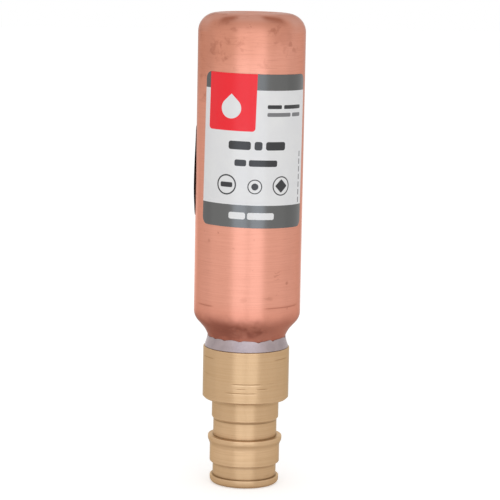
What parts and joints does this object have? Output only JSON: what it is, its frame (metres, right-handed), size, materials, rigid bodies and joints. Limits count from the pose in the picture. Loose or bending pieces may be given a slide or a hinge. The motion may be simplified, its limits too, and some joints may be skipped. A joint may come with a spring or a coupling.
{
  "type": "water hammer arrestor",
  "caption": "Slim copper cylinder, closed at the top and necked at the bottom, soldered into a barbed brass tube insert. A sealed piston inside it cushions pressure surges in a water line.",
  "frame": {"origin": "middle of the insert's end face, which the part stands on", "axes": "+Z along the axis from the insert to the closed top, -Y towards the middle of the front label, +X to its right"},
  "size_m": [0.0226, 0.0228, 0.1],
  "materials": {
    "copper": "satin brushed copper, heat tinted at the neck",
    "brass": "fine turned brass",
    "solder": "dull lead-free solder",
    "piston_plastic": "moulded acetal",
    "seal_rubber": "greased black rubber",
    "label_film": "white printed film",
    "rear_film": "plain dark film"
  },
  "bodies": {
    "housing": {"copper_chamber": "copper", "pex_adapter": "brass", "solder_joint": "solder", "front_label": "label_film", "rear_label": "rear_film"},
    "piston": {"piston": "piston_plastic", "lower_o_ring": "seal_rubber", "upper_o_ring": "seal_rubber"}
  },
  "joints": [
    {"name": "piston_slide", "type": "slide", "parent": "housing", "child": "piston", "axis": [0, 0, 1], "range_m": [0, 0.035], "stiffness_N_per_m": 4000}
  ]
}
